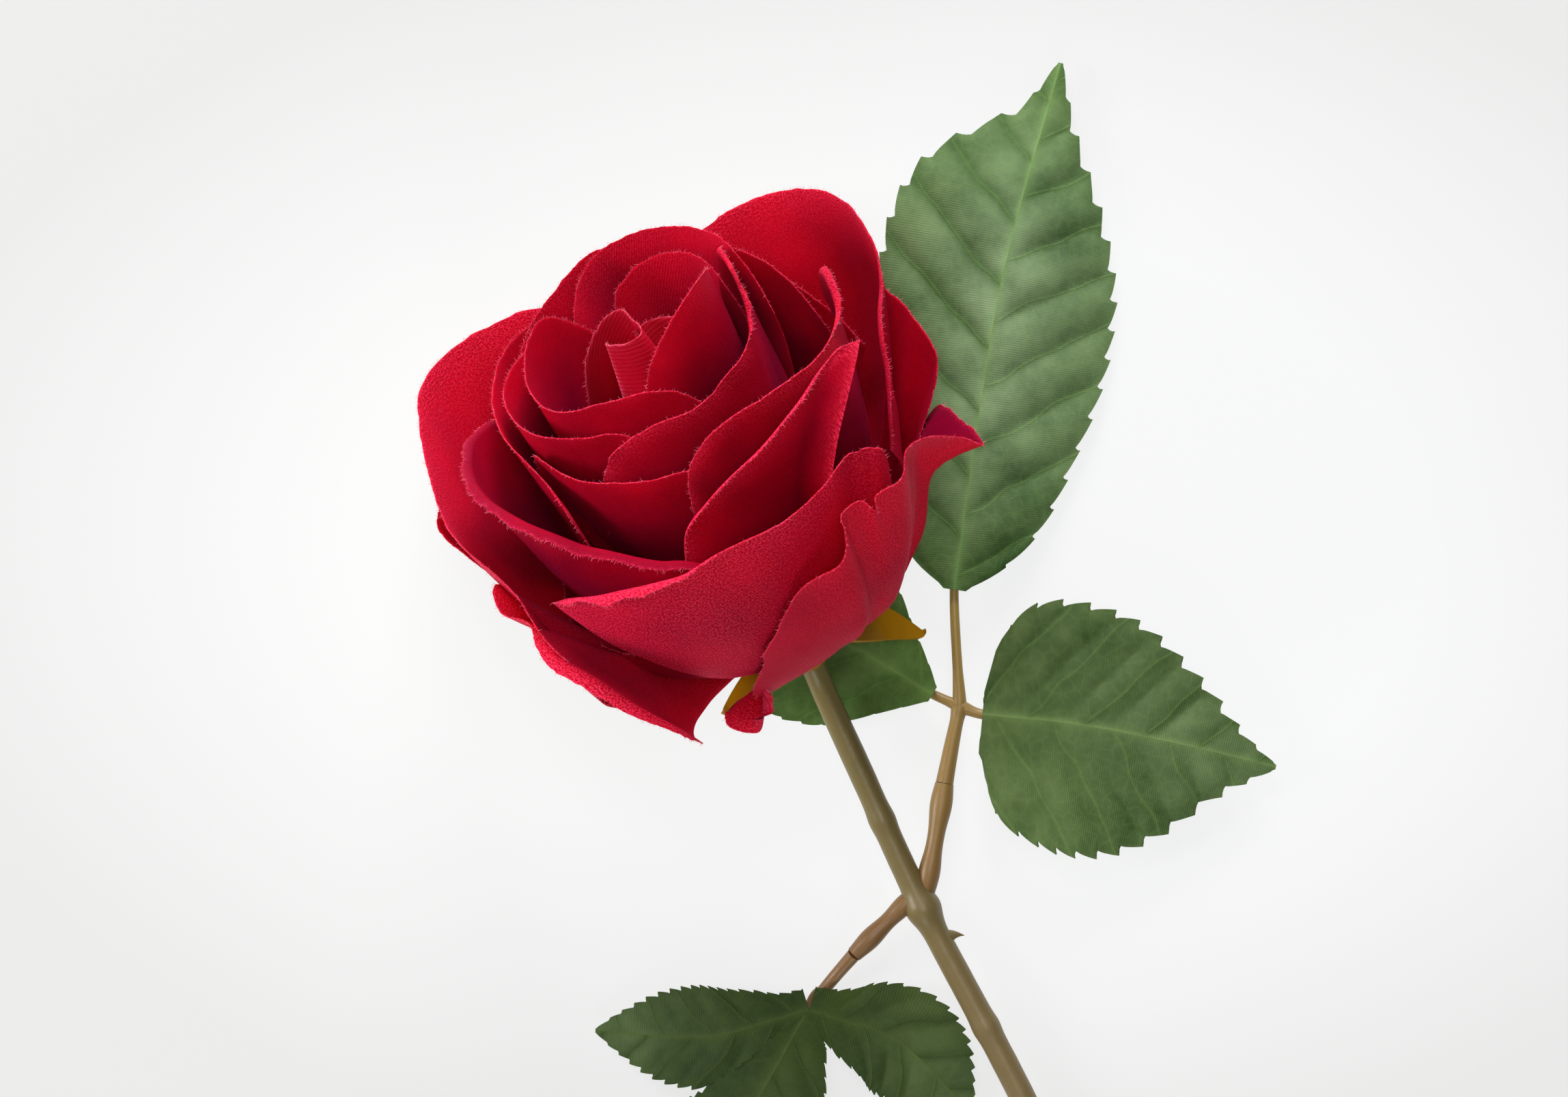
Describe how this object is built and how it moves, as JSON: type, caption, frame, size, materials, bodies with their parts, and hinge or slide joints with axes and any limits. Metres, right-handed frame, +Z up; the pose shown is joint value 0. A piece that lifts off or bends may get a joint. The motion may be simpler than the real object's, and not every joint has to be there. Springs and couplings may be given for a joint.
{
  "type": "artificial cut rose",
  "caption": "Single artificial red rose lying on its side: layered satin petals on a moulded stem with thorns, a toothed three-part leaf and a small lobed leaf.",
  "frame": {"origin": "middle of the rose's bounding box in plan, on the surface that it lies on", "axes": "+Z up from the surface, +Y along the rose's length from the cut end of the stem towards the flower, +X to the right as seen from above"},
  "size_m": [0.171, 0.3126, 0.0787],
  "materials": {
    "petal_satin": "satin cloth with a sheen, heat-formed, cut edges slightly frayed",
    "leaf_cloth": "matt printed cloth with pressed veins",
    "stem_plastic": "semi-matt, olive near the flower and beige-brown below",
    "calyx_plastic": "semi-matt ochre",
    "peg_plastic": "natural, hidden in the flower",
    "wire_steel": "drawn wire, cut at the stem's end"
  },
  "bodies": {
    "root": {"stem": "stem_plastic", "stem_wire": "wire_steel", "calyx": "calyx_plastic", "peg": "peg_plastic", "bud_roll": "petal_satin", "petals_a": "petal_satin", "petals_b": "petal_satin", "petals_c": "petal_satin", "petals_d": "petal_satin", "petals_e": "petal_satin", "petals_f": "petal_satin", "branch_upper": "stem_plastic", "branch_lower": "stem_plastic", "leaf_terminal": "leaf_cloth", "leaf_right": "leaf_cloth", "leaf_left": "leaf_cloth", "leaf_lower": "leaf_cloth"}
  },
  "joints": []
}
